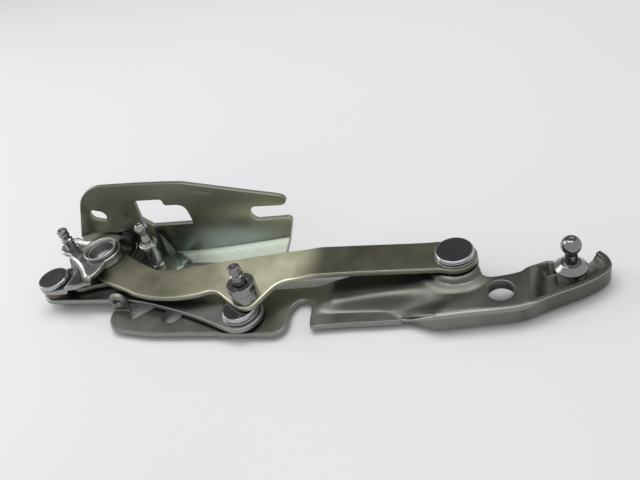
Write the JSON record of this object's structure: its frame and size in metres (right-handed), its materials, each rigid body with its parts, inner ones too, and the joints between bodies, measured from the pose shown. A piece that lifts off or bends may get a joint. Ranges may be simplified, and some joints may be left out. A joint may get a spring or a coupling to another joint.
{
  "type": "multi-link lid hinge",
  "caption": "Flat four-bar lid hinge of pressed sheet steel: upright body bracket, two links, lid bracket, spring studs and strut ball studs.",
  "frame": {"origin": "centre of the open rim of the hollow main pivot rivet", "axes": "+Z along the pivot axes towards the rivet heads; +X from the main pivot towards the lid bracket's tip; +Y towards the body bracket's upright wall"},
  "size_m": [0.3371, 0.0726, 0.0624],
  "materials": {
    "zinc_bracket": "zinc-plated pressed steel, olive tint, satin",
    "zinc_bridge": "zinc-plated pressed steel, satin",
    "zinc_link": "zinc-plated pressed steel, light olive tint, satin",
    "zinc_dark_link": "zinc-plated pressed steel, darker, satin",
    "zinc_lid": "zinc-plated pressed steel, green-blue tint, satin",
    "turned_steel": "bright turned steel",
    "rivet_steel": "smooth cold-headed steel, darker plating",
    "washer_steel": "bright steel washer",
    "bronze": "brown sintered bronze, matte",
    "black_rubber": "moulded black rubber, satin"
  },
  "bodies": {
    "root": {"body_bracket": "zinc_bracket", "pivot_bridge": "zinc_bridge", "main_pivot_rivet": "turned_steel", "main_pivot_washer": "washer_steel", "main_pivot_backing_ring": "washer_steel", "bridge_spring_stud": "turned_steel", "rubber_buffer": "black_rubber", "strut_stud_pillar": "turned_steel", "body_ball_stud": "turned_steel", "control_pivot_rivet": "rivet_steel", "control_pivot_washer": "washer_steel"},
    "main_arm": {"main_link": "zinc_link", "main_pivot_bush": "bronze", "link_stud_sleeve": "turned_steel", "link_spring_stud": "turned_steel", "lid_pivot_bush": "bronze"},
    "control_arm": {"control_link": "zinc_dark_link", "control_pivot_bush": "bronze", "coupler_rivet": "rivet_steel", "coupler_washer": "washer_steel", "coupler_bush": "bronze"},
    "lid_plate": {"lid_bracket": "zinc_lid", "lid_pivot_rivet": "rivet_steel", "lid_pivot_washer": "washer_steel", "lid_ball_stud": "turned_steel", "lid_stud_lock_ring": "washer_steel"}
  },
  "joints": [
    {"name": "main_swing", "type": "hinge", "parent": "root", "child": "main_arm", "pos_m": [0, 0, -0.0105], "axis": [0, 0, -1], "range_deg": [0, 45]},
    {"name": "control_swing", "type": "hinge", "parent": "root", "child": "control_arm", "pos_m": [-0.028, -0.0195, -0.0185], "axis": [0, 0, -1], "range_deg": [0, 55.5]},
    {"name": "lid_swing", "type": "hinge", "parent": "main_arm", "child": "lid_plate", "pos_m": [0.2225, -0.0095, -0.009], "axis": [0, 0, 1], "range_deg": [0, 19.5]}
  ],
  "couplings": [
    {"joint": "control_swing", "follows": "main_swing", "ratio": 1.212},
    {"joint": "lid_swing", "follows": "main_swing", "ratio": 0.432}
  ]
}
